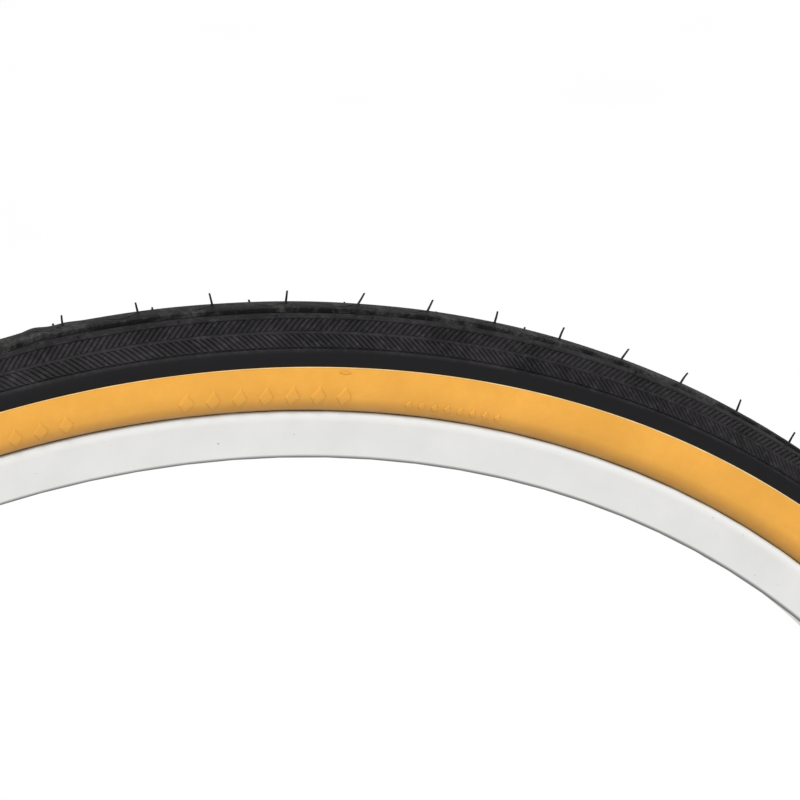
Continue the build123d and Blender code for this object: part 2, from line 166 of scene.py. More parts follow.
# the mould's own marks
MARK_HEIGHT = 0.42 * MM
MARK_SINK = 0.3 * MM
MARK_TOP = 0.36
MARK_ROUND = 0.04
# each row: the first one's turn and the turn between them in degrees, how many, how far down from the
# tread's edge, and each one's width and height
MARK_ROWS = (
    (-0.2, 1.44, 7, 8.8 * MM, 5.4 * MM, 8.2 * MM),
    (-9.3, 1.35, 3, 8.8 * MM, 5.0 * MM, 7.6 * MM),
    (12.2, 0.75, 8, 10.2 * MM, 2.5 * MM, 3.8 * MM),
    (8.3, 1.0, 1, 1.6 * MM, 4.4 * MM, 0.9 * MM),
)
SEAM_TURN = radians(8.1)
SEAMS = 8
# each ridge of a seam: where it starts and ends across the tread, its width, its foot and its top
SEAM_RIDGES = (
    (RIB_EDGE - 0.2 * MM, BAND_EDGE, 0.3 * MM, -GROOVE_DEPTH, 0.12 * MM),
    (BAND_EDGE - 0.4 * MM, SLOT_EDGE + 0.7 * MM, 0.8 * MM, -SLOT_DEPTH, 0.3 * MM),
)

# the uneven stretch of the crown
LUMP_TURN = radians(-6.7)
LUMP_REACH = radians(4)
LUMP_ACROSS = 9 * MM
LUMP_BELOW = 4 * MM
# each swell of it: its height, and how far round it stands and spreads in degrees
LUMP_SWELLS = ((0.75 * MM, 0.0, 0.55), (-0.7 * MM, -1.9, 1.0), (0.35 * MM, 1.6, 0.6))

# the fine hoop of gum along the tread's edge
GUM_EDGE_BEAD = 0.26 * MM
GUM_EDGE_DROP = 0.12 * MM

# the studio
FLOOR_SIZE = 30
FLOOR_DROP = 2 * MM
LIGHT_DIRECTION = (0.35, 0.9, -0.9)
CAMERA_LENS = 160.08
CAMERA_PLACE = (-0.2735, -0.9082, 0.6119)
CAMERA_HEADING = -0.3596
CAMERA_DIP = 0.3155
CAMERA_ROLL = -0.0039


def section_point(radius, angle):
    """A point of the tire's section, as (across, out), at an angle from the crown."""
    return (radius * sin(angle), SECTION_R + radius * cos(angle))


def tread_point(arc, height):
    """A point of the tread's section at an arc from the crown, at a height above the shoulder's skin."""
    return section_point(SHOULDER_RADIUS + height, arc / SHOULDER_RADIUS)


def on_tire(turn, arc, height):
    """The place in space of a point on the tread."""
    across, out = tread_point(arc, height)
    return Vector((out * sin(turn), across, out * cos(turn)))


def deselect():
    bpy.ops.object.select_all(action="DESELECT")


def name_new(name):
    piece = bpy.context.object
    piece.name = name
    piece.data.name = name
    return piece


def clean_mesh(piece, smooth_angle):
    """Closes the seams, points the faces outwards and shades the mesh."""
    deselect()
    piece.select_set(True)
    bpy.context.view_layer.objects.active = piece
    bpy.ops.object.mode_set(mode="EDIT")
    bpy.ops.mesh.select_all(action="SELECT")
    bpy.ops.mesh.remove_doubles(threshold=MERGE)
    bpy.ops.mesh.normals_make_consistent(inside=False)
    bpy.ops.object.mode_set(mode="OBJECT")
    bpy.ops.object.shade_smooth_by_angle(angle=radians(smooth_angle))


def ring(name, outline, smooth_angle):
    """Spins a closed outline of (across, out) points once round the axle."""
    deselect()
    bpy.ops.mesh.primitive_circle_add(vertices=len(outline))
    piece = name_new(name)
    for vertex, (across, out) in zip(piece.data.vertices, outline):
        vertex.co = (0, across, out)
    bpy.ops.object.mode_set(mode="EDIT")
    bpy.ops.mesh.select_all(action="SELECT")
    bpy.ops.mesh.spin(steps=RING_STEPS, angle=FULL_TURN, center=(0, 0, 0), axis=(0, 1, 0))
    bpy.ops.object.mode_set(mode="OBJECT")
    clean_mesh(piece, smooth_angle)
    return piece


def sheet_grid(name, rows, columns):
    """A flat grid, with its vertices' row and column numbers for shaping it."""
    deselect()
    bpy.ops.mesh.primitive_grid_add(x_subdivisions=rows, y_subdivisions=columns, size=2)
    piece = name_new(name)
    places = [
        (vertex, round((vertex.co.x + 1) / 2 * rows), round((vertex.co.y + 1) / 2 * columns))
        for vertex in piece.data.vertices
    ]
    return piece, places


def repeat_round(piece, count):
    """Copies a piece round the axle."""
    deselect()
    bpy.ops.object.empty_add(rotation=(0, FULL_TURN / count, 0))
    step = bpy.context.object
    deselect()
    piece.select_set(True)
    bpy.context.view_layer.objects.active = piece
    copies = piece.modifiers.new("round", "ARRAY")
    copies.count = count
    copies.use_relative_offset = False
    copies.use_object_offset = True
    copies.offset_object = step
    bpy.ops.object.modifier_apply(modifier=copies.name)
    bpy.data.objects.remove(step)


def mirror_across(piece, name):
    """The same piece on the wheel's other side, with its own mesh."""
    deselect()
    piece.select_set(True)
    bpy.context.view_layer.objects.active = piece
    bpy.ops.object.duplicate()
    twin = name_new(name)
    for vertex in twin.data.vertices:
        vertex.co.y = -vertex.co.y
    bpy.ops.object.mode_set(mode="EDIT")
    bpy.ops.mesh.select_all(action="SELECT")
    bpy.ops.mesh.flip_normals()
    bpy.ops.object.mode_set(mode="OBJECT")
    return twin


def join_all(parts, name):
    """One piece from several."""
    deselect()
    for part in parts:
        part.select_set(True)
    bpy.context.view_layer.objects.active = parts[0]
    bpy.ops.object.join()
    return name_new(name)


def crown_lump(place):
    """How far a stretch of the crown stands out, or sinks, where the mould's flash was left on."""
    away = atan2(place.x, place.z) - LUMP_TURN
    off_crown = abs(place.y) > LUMP_ACROSS or hypot(place.x, place.z) < CROWN_R - LUMP_BELOW
    if off_crown or abs(away) > LUMP_REACH:
        return 0.0
    middle = max(0.0, 1 - (place.y / LUMP_ACROSS) ** 2)
    lift = 0.0
    for height, turn, spread in LUMP_SWELLS:
        lift += height * exp(-(((away - radians(turn)) / radians(spread)) ** 2))
    return lift * middle


def uneven(piece, wander):
    """Moves a skin in and out a little, as a moulded tire is never quite true."""
    amount, length = wander
    for vertex in piece.data.vertices:
        lift = noise.noise(vertex.co / length) * amount
        out = Vector((vertex.co.x, 0, vertex.co.z)).normalized()
        vertex.co += out * (lift + crown_lump(vertex.co))


# ---- materials ----

SMOOTH_BAND_R = tread_point(SHADOW_EDGE, 0)[1]


class Paint:
    """A material and the few nodes that its patterns are made from."""

    def __init__(self, name, colour, roughness, metallic=0.0):
        self.material = bpy.data.materials.new(name)
        self.material.use_nodes = True
        self.tree = self.material.node_tree
        self.shader = self.tree.nodes["Principled BSDF"]
        self.shader.inputs["Base Color"].default_value = (*colour, 1)
        self.shader.inputs["Roughness"].default_value = roughness
        self.shader.inputs["Metallic"].default_value = metallic
        self.place = self.tree.nodes.new("ShaderNodeTexCoord").outputs["Object"]

    def noise(self, scale, detail=4.0, rough=0.6, stretch=None):
        node = self.tree.nodes.new("ShaderNodeTexNoise")
        node.inputs["Scale"].default_value = scale
        node.inputs["Detail"].default_value = detail
        node.inputs["Roughness"].default_value = rough
        place = self.place
        if stretch:
            mapping = self.tree.nodes.new("ShaderNodeMapping")
            mapping.inputs["Scale"].default_value = stretch
            self.tree.links.new(place, mapping.inputs["Vector"])
            place = mapping.outputs["Vector"]
        self.tree.links.new(place, node.inputs["Vector"])
        return node.outputs["Fac"]

    def out_from_axle(self):
        """How far out from the axle a point is."""
        split = self.tree.nodes.new("ShaderNodeSeparateXYZ")
        join = self.tree.nodes.new("ShaderNodeCombineXYZ")
        length = self.tree.nodes.new("ShaderNodeVectorMath")
        length.operation = "LENGTH"
        self.tree.links.new(self.place, split.inputs[0])
        self.tree.links.new(split.outputs["X"], join.inputs["X"])
        self.tree.links.new(split.outputs["Z"], join.inputs["Z"])
        self.tree.links.new(join.outputs[0], length.inputs[0])
        return length.outputs["Value"]

    def between(self, low, high):
        """A share that grows from 0 to 1 from one distance out from the axle to another."""
        node = self.tree.nodes.new("ShaderNodeMapRange")
        node.inputs["From Min"].default_value = low
        node.inputs["From Max"].default_value = high
        self.tree.links.new(self.out_from_axle(), node.inputs["Value"])
        return node.outputs["Result"]

    def across(self):
        split = self.tree.nodes.new("ShaderNodeSeparateXYZ")
        self.tree.links.new(self.place, split.inputs[0])
        return split.outputs["Y"]

    def towards_sides(self, low, high):
        """A share that grows from 0 to 1 from one distance off the wheel's middle plane to another."""
        away = self.tree.nodes.new("ShaderNodeMath")
        away.operation = "ABSOLUTE"
        node = self.tree.nodes.new("ShaderNodeMapRange")
        node.inputs["From Min"].default_value = low
        node.inputs["From Max"].default_value = high
        self.tree.links.new(self.across(), away.inputs[0])
        self.tree.links.new(away.outputs[0], node.inputs["Value"])
        return node.outputs["Result"]

    def hoops(self, scale):
        """Noise that is the same all the way round, in hoops."""
        join = self.tree.nodes.new("ShaderNodeCombineXYZ")
        self.tree.links.new(self.out_from_axle(), join.inputs["X"])
        self.tree.links.new(self.across(), join.inputs["Y"])
        node = self.tree.nodes.new("ShaderNodeTexNoise")
        node.inputs["Scale"].default_value = scale
        node.inputs["Detail"].default_value = 2.0
        self.tree.links.new(join.outputs[0], node.inputs["Vector"])
        return node.outputs["Fac"]

    def ramp(self, source, *stops):
        node = self.tree.nodes.new("ShaderNodeValToRGB")
        elements = node.color_ramp.elements
        while len(elements) < len(stops):
            elements.new(0.5)
        for element, (place, colour) in zip(elements, stops):
            element.position = place
            element.color = (*colour, 1) if isinstance(colour, tuple) else (colour, colour, colour, 1)
        self.tree.links.new(source, node.inputs["Fac"])
        return node.outputs["Color"]

    def mix(self, share, a, b):
        node = self.tree.nodes.new("ShaderNodeMix")
        node.data_type = "RGBA"
        for value, socket in ((share, 0), (a, 6), (b, 7)):
            if isinstance(value, (int, float)):
                node.inputs[socket].default_value = value
            elif isinstance(value, tuple):
                node.inputs[socket].default_value = (*value, 1)
            else:
                self.tree.links.new(value, node.inputs[socket])
        return node.outputs[2]

    def times(self, a, b):
        """One colour multiplied by another."""
        node = self.tree.nodes.new("ShaderNodeVectorMath")
        node.operation = "MULTIPLY"
        self.tree.links.new(a, node.inputs[0])
        self.tree.links.new(b, node.inputs[1])
        return node.outputs["Vector"]

    def colour(self, source):
        self.tree.links.new(source, self.shader.inputs["Base Color"])

    def roughness(self, source):
        self.tree.links.new(source, self.shader.inputs["Roughness"])

    def bump(self, *layers):
        """Adds one bump after another, each (source, depth in metres)."""
        normal = None
        for source, depth in layers:
            node = self.tree.nodes.new("ShaderNodeBump")
            node.inputs["Distance"].default_value = depth
            self.tree.links.new(source, node.inputs["Height"])
            if normal:
                self.tree.links.new(normal, node.inputs["Normal"])
            normal = node.outputs["Normal"]
        self.tree.links.new(normal, self.shader.inputs["Normal"])


def tread_rubber():
    paint = Paint("tread_rubber", (0.02, 0.02, 0.021), 0.6)
    cloud = paint.noise(90, 5)
    base = paint.ramp(cloud, (0.3, (0.009, 0.008, 0.009)), (0.7, (0.024, 0.022, 0.024)))
    dust = paint.ramp(paint.noise(420, 6, 0.7), (0.5, 0.0), (0.8, 0.45))
    worn = paint.mix(dust, base, (0.085, 0.08, 0.085))
    # the smooth band below the herringbone is cleaner and blacker
    above_band = paint.between(SMOOTH_BAND_R - 1 * MM, SMOOTH_BAND_R)
    paint.colour(paint.mix(above_band, (0.0065, 0.006, 0.007), worn))
    paint.roughness(paint.ramp(paint.noise(160, 4), (0.3, 0.5), (0.7, 0.72)))
    paint.shader.inputs["Specular IOR Level"].default_value = 0.14
    paint.bump((paint.noise(2600, 3), 0.04 * MM), (paint.hoops(1500), 0.12 * MM))
    return paint.material


def crown_rubber():
    """The middle rib, which is mottled with chalky patches."""
    paint = Paint("crown_rubber", (0.035, 0.035, 0.036), 0.7)
    cloud = paint.noise(150, 6, 0.72)
    patches = paint.ramp(cloud, (0.46, 0.0), (0.62, 1.0))
    specks = paint.ramp(paint.noise(1100, 5, 0.8), (0.42, 0.25), (0.66, 1.0))
    worn = paint.mix(specks, (0.022, 0.021, 0.022), (0.085, 0.084, 0.08))
    paint.colour(paint.mix(patches, (0.010, 0.010, 0.011), worn))
    paint.roughness(paint.ramp(cloud, (0.4, 0.5), (0.65, 0.84)))
    paint.shader.inputs["Specular IOR Level"].default_value = 0.16
    paint.bump((paint.noise(1500, 5, 0.8), 0.12 * MM), (paint.noise(300, 3), 0.2 * MM))
    return paint.material


def gum_rubber():
    paint = Paint("gum_rubber", (0.76, 0.36, 0.06), 0.5)
    cloud = paint.noise(35, 4)
    fine = paint.ramp(paint.noise(500, 5, 0.7), (0.4, 0.0), (0.75, 0.35))
    base = paint.ramp(cloud, (0.3, (0.62, 0.30, 0.041)), (0.7, (0.74, 0.36, 0.056)))
    skin = paint.mix(fine, base, (0.64, 0.27, 0.038))
    # painted shade: the gum is darkened, and a little browner, where the wall tucks in behind the rim and the
    # occlusion shade falls
    tuck_shade_share = paint.between(FLANGE_TOP + 0.3 * MM, FLANGE_TOP + 5.5 * MM)
    shade = paint.ramp(tuck_shade_share, (0.0, (0.52, 0.54, 0.5)), (0.3, (0.74, 0.72, 0.66)), (1.0, (1.0, 1.0, 1.0)))
    paint.colour(paint.times(skin, shade))
    paint.roughness(paint.ramp(paint.noise(200, 3), (0.3, 0.42), (0.7, 0.6)))
    paint.shader.inputs["Specular IOR Level"].default_value = 0.25
    paint.shader.inputs["Subsurface Weight"].default_value = 0.08
    paint.shader.inputs["Subsurface Radius"].default_value = (1.0, 0.45, 0.1)
    paint.shader.inputs["Subsurface Scale"].default_value = 1.5 * MM
    paint.bump((paint.noise(1300, 4), 0.04 * MM), (paint.hoops(700), 0.05 * MM))
    return paint.material


def gum_edge_highlight():
    """The hoop of gum that shows along the tread's edge, coloured paler as a painted highlight along the fine
    raised bead there.
    """
    paint = Paint("gum_edge_highlight", (0.75, 0.55, 0.33), 0.6)
    # painted highlight: a pale colour for the light line that the raised bead catches
    paint.colour(paint.ramp(paint.noise(120, 4), (0.3, (0.56, 0.42, 0.22)), (0.7, (0.76, 0.62, 0.38))))
    paint.bump((paint.noise(900, 3), 0.05 * MM))
    return paint.material


def rim_metal():
    """Pale satin metal, with a painted highlight along the top of its side and painted shade along the foot
    of it.
    """
    paint = Paint("rim_metal", (0.66, 0.66, 0.65), 0.45, 0.15)
    streaks = paint.hoops(2600)
    cloud = paint.ramp(paint.noise(60, 4), (0.3, (0.59, 0.592, 0.583)), (0.7, (0.64, 0.642, 0.632)))
    nicks = paint.ramp(paint.noise(900, 1, 0.4), (0.765, 0.0), (0.79, 0.8))
    face = paint.mix(nicks, cloud, (0.25, 0.25, 0.25))
    # painted highlight: the top of the side is lightened, standing in for the bright rolled edge and against
    # the shadow that the tire's bulge casts there
    top = paint.between(FLANGE_TOP - 3.0 * MM, FLANGE_TOP - 0.6 * MM)
    face_with_painted_highlight = paint.mix(top, face, (0.74, 0.75, 0.74))
    foot = FLANGE_TOP - RIM_DEPTH
    corner_shade_share = paint.towards_sides(RIM_WIDTH / 2 - 1.1 * MM, RIM_WIDTH / 2 - 0.6 * MM)
    # painted shade: only the corner under each side is darkened, standing in for the dark reflection and
    # shade where the rim curves under; the bed between them stays pale
    bed = paint.mix(corner_shade_share, face, (0.15, 0.15, 0.145))
    # below the foot's edge the colour takes the painted shade of the corners, above it the face with its
    # painted highlight
    paint.colour(paint.mix(paint.between(foot + 0.5 * MM, foot + 1.25 * MM), bed, face_with_painted_highlight))
    paint.roughness(paint.ramp(streaks, (0.3, 0.34), (0.7, 0.5)))
    paint.bump((streaks, 0.02 * MM), (paint.noise(240, 3), 0.02 * MM))
    return paint.material


def plain_rubber():
    paint = Paint("inner_rubber", (0.02, 0.02, 0.021), 0.55)
    paint.colour(paint.ramp(paint.noise(300, 5), (0.3, 0.014), (0.75, 0.04)))
    paint.roughness(paint.ramp(paint.noise(500, 3), (0.3, 0.45), (0.7, 0.65)))
    paint.bump((paint.noise(2400, 4), 0.04 * MM))
    return paint.material


def cord_cloth():
    paint = Paint("casing_cord", (0.6, 0.45, 0.24), 0.8)
    threads = paint.noise(900, 2, 0.5, (1, 0.15, 1))
    paint.colour(paint.ramp(threads, (0.35, (0.42, 0.3, 0.14)), (0.65, (0.7, 0.55, 0.32))))
    paint.bump((threads, 0.15 * MM))
    return paint.material


def steel(name, colour, rough):
    paint = Paint(name, colour, rough, 1.0)
    paint.colour(paint.ramp(paint.noise(700, 4), (0.3, tuple(0.8 * c for c in colour)), (0.7, colour)))
    paint.roughness(paint.ramp(paint.noise(500, 3), (0.3, rough * 0.8), (0.7, rough * 1.3)))
    paint.bump((paint.noise(1800, 3), 0.01 * MM))
    return paint.material


def cap_plastic():
    paint = Paint("cap_plastic", (0.02, 0.02, 0.02), 0.42)
    paint.colour(paint.ramp(paint.noise(400, 4), (0.3, 0.014), (0.7, 0.028)))
    paint.roughness(paint.ramp(paint.noise(900, 3), (0.3, 0.35), (0.7, 0.5)))
    paint.bump((paint.noise(3000, 3), 0.02 * MM))
    return paint.material


def finish_piece(piece, material, slot, *nodes):
    """Gives a piece its material, hides the CAD nodes it stands for, and lets it ride on the wheel. The slot
    is not used.
    """
    piece.data.materials.clear()
    piece.data.materials.append(material)
    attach(piece, "wheel")
    if nodes:
        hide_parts(*nodes)


# ---- tread ----


def half_tread():
    """The outline of half the tread's skin, from the crown outwards, as (arc, height) points."""
    return [
        (0, CROWN_RADIUS - SHOULDER_RADIUS - RIB_SEAT),
        (RIB_EDGE * 0.5, CROWN_RADIUS - SHOULDER_RADIUS - RIB_SEAT),
        (RIB_EDGE - 2 * WALL_LEAN, CROWN_RADIUS - SHOULDER_RADIUS - RIB_SEAT),
        (RIB_EDGE, -GROOVE_DEPTH),
        (RIB_EDGE + 3 * WALL_LEAN, -GROOVE_DEPTH),
        (GROOVE_EDGE - 4 * WALL_LEAN, -GROOVE_DEPTH),
        (GROOVE_EDGE - 2 * WALL_LEAN, -GROOVE_DEPTH * 0.7),
        (GROOVE_EDGE - WALL_LEAN / 2, -WALL_LEAN / 2),
        (GROOVE_EDGE, 0),
        (LINE_START, 0),
        (LINE_START + WALL_LEAN / 2, LINE_HEIGHT),
        (BAND_EDGE - WALL_LEAN / 2, LINE_HEIGHT),
        (BAND_EDGE, 0),
        (BAND_EDGE + WALL_LEAN / 2, -SLOT_DEPTH),
        (SLOT_EDGE, -SLOT_DEPTH),
        (SLOT_EDGE + WALL_LEAN / 2, -LUG_DEPTH),
        *[(SLOT_EDGE + (SPINE_START - SLOT_EDGE) * n / 4, -LUG_DEPTH) for n in (1, 2, 3)],
        (SPINE_START - WALL_LEAN, -LUG_DEPTH),
        (SPINE_START, SPINE_HEIGHT / 2),
        (SPINE_START + WALL_LEAN, SPINE_HEIGHT),
        (SPINE_END - WALL_LEAN, SPINE_HEIGHT),
        (SPINE_END, SPINE_HEIGHT / 2),
        (SPINE_END + WALL_LEAN, -LUG_DEPTH),
        *[(SPINE_END + (LUG_EDGE - SPINE_END) * n / 4, -LUG_DEPTH) for n in (1, 2, 3)],
        (LUG_EDGE, -LUG_DEPTH),
        (LUG_EDGE + WALL_LEAN / 2, -SHADOW_DEPTH - LUG_DEPTH / 2),
        (SHADOW_EDGE - WALL_LEAN / 2, -SHADOW_DEPTH - LUG_DEPTH / 2),
        (SHADOW_EDGE, 0),
    ]


def tread_outline():
    skin = [tread_point(arc, height) for arc, height in half_tread()]
    start = SHADOW_EDGE / SHOULDER_RADIUS
    end_radius = GUM_RADIUS + TREAD_STEP
    flank = []
    for n in range(1, FLANK_STEPS + 1):
        share = n / FLANK_STEPS
        radius = SHOULDER_RADIUS + (end_radius - SHOULDER_RADIUS) * share**FLANK_CURVE
        ripple = FLANK_RIPPLE if n in RIPPLED_STEPS else 0
        flank.append(section_point(radius + ripple, start + (TREAD_EDGE - start) * share))
    seat = [section_point(GUM_RADIUS - GUM_THICKNESS / 2, TREAD_EDGE * n / 8) for n in range(8, -1, -1)]
    half = skin + flank + seat
    return half + [(-across, out) for across, out in half[-2:0:-1]]


def make_tread_base():
    base = ring("tread_base", tread_outline(), 40)
    uneven(base, TREAD_WANDER)
    return base


def sipe_line(share):
    """How far across the rib the wavy cut runs, at a share of the way along one repeat."""
    if SIPE_START <= share <= SIPE_END:
        along = (share - SIPE_START) / (SIPE_END - SIPE_START)
        return -SIPE_SWING * sin(FULL_TURN * (WAVE_START + WAVE_SPAN * along))
    start = -SIPE_SWING * sin(FULL_TURN * WAVE_START)
    end = -SIPE_SWING * sin(FULL_TURN * WAVE_END)
    gap = 1 - SIPE_END + SIPE_START
    along = (share - SIPE_END) % 1 / gap
    return end + (start - end) * (1 - cos(pi * along)) / 2


def cut_depth(share):
    """How deep the cut is there: a wavy sipe, with a small pit in the gap between two."""
    if SIPE_START < share < SIPE_END:
        ends = min(share - SIPE_START, SIPE_END - share) / SIPE_RAMP
        return SIPE_DEPTH * min(1.0, ends)
    away = min(share, 1 - share)
    return PIT_DEPTH * max(0.0, 1 - away / PIT_REACH)


def make_crown_rib():
    """The middle rib, modelled as one repeat and copied round."""
    height = CROWN_RADIUS - SHOULDER_RADIUS
    edge_drop = RIB_SEAT + RIB_LAP
    top_edge = RIB_EDGE - RIB_BEVEL
    width = SIPE_WIDTH / 2
    rib, places = sheet_grid("crown_rib", RIB_ROWS, RIB_COLUMNS)
    for vertex, row, column in places:
        share = row / RIB_ROWS
        middle = sipe_line(share % 1)
        depth = cut_depth(share % 1)
        across = {
            0: (-RIB_EDGE, height - edge_drop),
            1: (-RIB_EDGE + RIB_CORNER, height - RIB_CORNER_DROP),
            2: (-top_edge, height),
            5: (middle - width, height),
            6: (middle - width * SIPE_FLOOR, height - depth),
            7: (middle + width * SIPE_FLOOR, height - depth),
            8: (middle + width, height),
            11: (top_edge, height),
            12: (RIB_EDGE - RIB_CORNER, height - RIB_CORNER_DROP),
            13: (RIB_EDGE, height - edge_drop),
        }
        if column in (3, 4):
            left, right = -top_edge, middle - width
            across[column] = (left + (right - left) * (column - 2) / 3, height)
        if column in (9, 10):
            left, right = middle + width, top_edge
            across[column] = (left + (right - left) * (column - 8) / 3, height)
        arc, lift = across[column]
        lift += RIB_GRAIN * noise.noise(Vector((row * 0.7, column * 1.3, 0))) if 2 < column < 11 else 0
        vertex.co = on_tire(share * REPEAT_TURN, arc, lift)
    repeat_round(rib, REPEATS)
    clean_mesh(rib, 45)
    uneven(rib, TREAD_WANDER)
    return rib


def make_lugs(name, start, end, lean):
    """One slanted lug of the herringbone, laid on the tread and copied round."""
    deselect()
    bpy.ops.mesh.primitive_cube_add(size=2)
    lug = name_new(name)
    bpy.ops.object.mode_set(mode="EDIT")
    bpy.ops.mesh.select_all(action="DESELECT")
    bpy.ops.object.mode_set(mode="OBJECT")
    for face in lug.data.polygons:
        face.select = face.normal.z < -0.9
    bpy.ops.object.mode_set(mode="EDIT")
    bpy.ops.mesh.delete(type="FACE")
    for share in (-0.5, 0.0, 0.5):
        bpy.ops.mesh.select_all(action="SELECT")
        bpy.ops.mesh.bisect(plane_co=(0, share, 0), plane_no=(0, 1, 0))
    bpy.ops.object.mode_set(mode="OBJECT")
    middle = (start + end) / 2
    reach = (end - start) / 2
    for vertex in lug.data.vertices:
        along, over, up = vertex.co
        top = up > 0
        width = (LUG_TOP if top else LUG_BASE) * LUG_TURN / 2
        shift = lean * LUG_SLANT * over * reach / (SECTION_R + SHOULDER_RADIUS)
        end_inset = LUG_END_INSET if top else 0
        arc = middle + over * (reach - end_inset)
        vertex.co = on_tire(along * width + shift, arc, 0 if top else -LUG_DEPTH - LUG_SINK)
    repeat_round(lug, REPEATS * LUGS_PER_REPEAT)
    clean_mesh(lug, 30)
    uneven(lug, TREAD_WANDER)
    return lug


def make_seams():
    """The fine ridges that the joints of the mould leave across both shoulders, each with a small nub."""
    ridges = []
    for n in range(SEAMS):
        turn = SEAM_TURN + n * FULL_TURN / SEAMS
        for side in (-1, 1):
            for start, end, wide, low, high in SEAM_RIDGES:
                deselect()
                bpy.ops.mesh.primitive_cube_add(size=1)
                ridge = name_new("ridge")
                bpy.ops.object.mode_set(mode="EDIT")
                bpy.ops.mesh.select_all(action="SELECT")
                bpy.ops.mesh.subdivide(number_cuts=3)
                bpy.ops.object.mode_set(mode="OBJECT")
                for vertex in ridge.data.vertices:
                    along, over, up = vertex.co
                    arc = start + (over + 0.5) * (end - start)
                    taper = 1 - 0.5 * (up + 0.5)
                    place = turn + along * wide * taper / (SECTION_R + SHOULDER_RADIUS)
                    vertex.co = on_tire(place, side * arc, low + (up + 0.5) * (high - low))
                ridges.append(ridge)
    seams = join_all(ridges, "mould_seams")
    clean_mesh(seams, 40)
    return seams


def hair(turn, arc, length, lean, curl):
    """One moulding hair, which leans and curls a little more towards its tip."""
    deselect()
    bpy.ops.mesh.primitive_cone_add(vertices=6, radius1=HAIR_FOOT, radius2=HAIR_TIP, depth=2)
    piece = name_new("hair")
    bpy.ops.object.mode_set(mode="EDIT")
    for share in (-0.6, -0.2, 0.2, 0.6):
        bpy.ops.mesh.select_all(action="SELECT")
        bpy.ops.mesh.bisect(plane_co=(0, 0, share), plane_no=(0, 0, 1))
    bpy.ops.object.mode_set(mode="OBJECT")
    angle = arc / SHOULDER_RADIUS
    foot = on_tire(turn, arc, CROWN_RADIUS - SHOULDER_RADIUS if arc == 0 else 0)
    up = Vector((sin(turn) * cos(angle), sin(angle), cos(turn) * cos(angle)))
    along = Vector((cos(turn), 0, -sin(turn)))
    side = up.cross(along)
    for vertex in piece.data.vertices:
        share = (vertex.co.z + 1) / 2
        bend = share * lean + share * share * curl
        spot = foot + up * (share * length) + along * (bend * length)
        vertex.co = spot + along * vertex.co.x + side * vertex.co.y
    return piece


def make_hairs():
    """Tall hairs round the crown, and short cut ones on the shoulders."""
    tall = []
    for n in range(-REPEATS // 2, REPEATS // 2):
        lean = HAIR_LEANS.get(n, random.uniform(*HAIR_LEAN))
        length = random.uniform(*HAIR_LENGTH) * MM
        tall.append(hair(n * REPEAT_TURN + HAIR_PHASE, 0, length, lean, random.uniform(*HAIR_CURL)))
    short = []
    for n in range(SHOULDER_HAIRS):
        for side in (-1, 1):
            turn = (n + SHOULDER_HAIR_PHASE[side]) * FULL_TURN / SHOULDER_HAIRS
            length = random.uniform(*SHOULDER_HAIR_LENGTH) * MM
            lean = random.uniform(*SHOULDER_HAIR_LEAN)
            short.append(hair(turn, side * SHOULDER_HAIR_ARC, length, lean, 0))
    return join_all(tall, "hairs_crown"), join_all(short, "hairs_shoulder")


# ---- gum sidewalls ----

FLANGE_GAP = 18.4 * MM
FLANGE_ROUND = (RIM_WIDTH - FLANGE_GAP) / 4
FLANGE_ACROSS = FLANGE_GAP / 2 + FLANGE_ROUND
FLANGE_OUT = FLANGE_TOP - FLANGE_ROUND
FLANGE_WRAP = FLANGE_ROUND + 0.05 * MM
SIDE_DROP = SECTION_R - FLANGE_OUT
SIDE_REACH = GUM_RADIUS + FLANGE_WRAP
SIDE_ACROSS = (SIDE_REACH**2 - FLANGE_ACROSS**2 - SIDE_DROP**2) / (2 * (SIDE_REACH - FLANGE_ACROSS))
SIDE_RADIUS = GUM_RADIUS - SIDE_ACROSS


def side_wall(depth):
    """The sidewall's line at a depth, from the tread's edge to the flange's inner face."""
    line = []
    upper_steps = 8
    for n in range(upper_steps + 1):
        line.append(section_point(GUM_RADIUS - depth, TREAD_EDGE + (pi / 2 - TREAD_EDGE) * n / upper_steps))
    flange = Vector((FLANGE_ACROSS - SIDE_ACROSS, -SIDE_DROP))
    turn_end = Vector((1, 0)).angle(flange)
    lower_steps = 16
    for n in range(1, lower_steps + 1):
        turn = turn_end * n / lower_steps
        radius = SIDE_RADIUS - depth
        line.append((SIDE_ACROSS + radius * cos(turn), SECTION_R - radius * sin(turn)))
    curl_steps = 6
    for n in range(1, curl_steps + 1):
        turn = pi - turn_end * (1 - n / curl_steps)
        radius = FLANGE_WRAP + depth
        line.append((FLANGE_ACROSS + radius * cos(turn), FLANGE_OUT + radius * sin(turn)))
    return line


def make_sidewall(name):
    outline = side_wall(0) + side_wall(GUM_THICKNESS)[::-1]
    wall = ring(name, [(-across, out) for across, out in outline], 60)
    uneven(wall, WALL_WANDER)
    return wall


def on_wall(turn, down, height):
    """The place in space of a point on the near sidewall, this far down from the tread's edge."""
    upper = GUM_RADIUS * (pi / 2 - TREAD_EDGE)
    if down <= upper:
        across, out = section_point(GUM_RADIUS + height, TREAD_EDGE + down / GUM_RADIUS)
    else:
        angle = (down - upper) / SIDE_RADIUS
        across = SIDE_ACROSS + (SIDE_RADIUS + height) * cos(angle)
        out = SECTION_R - (SIDE_RADIUS + height) * sin(angle)
    return Vector((out * sin(turn), -across, out * cos(turn)))


def lay_on_wall(piece, turn, down):
    """Lays a mark that was modelled flat, with X along the tire and Y upwards, on the near sidewall."""
    for vertex in piece.data.vertices:
        along = vertex.co.x / (SECTION_R - 5 * MM)
        vertex.co = on_wall(turn + along, down - vertex.co.y, vertex.co.z)


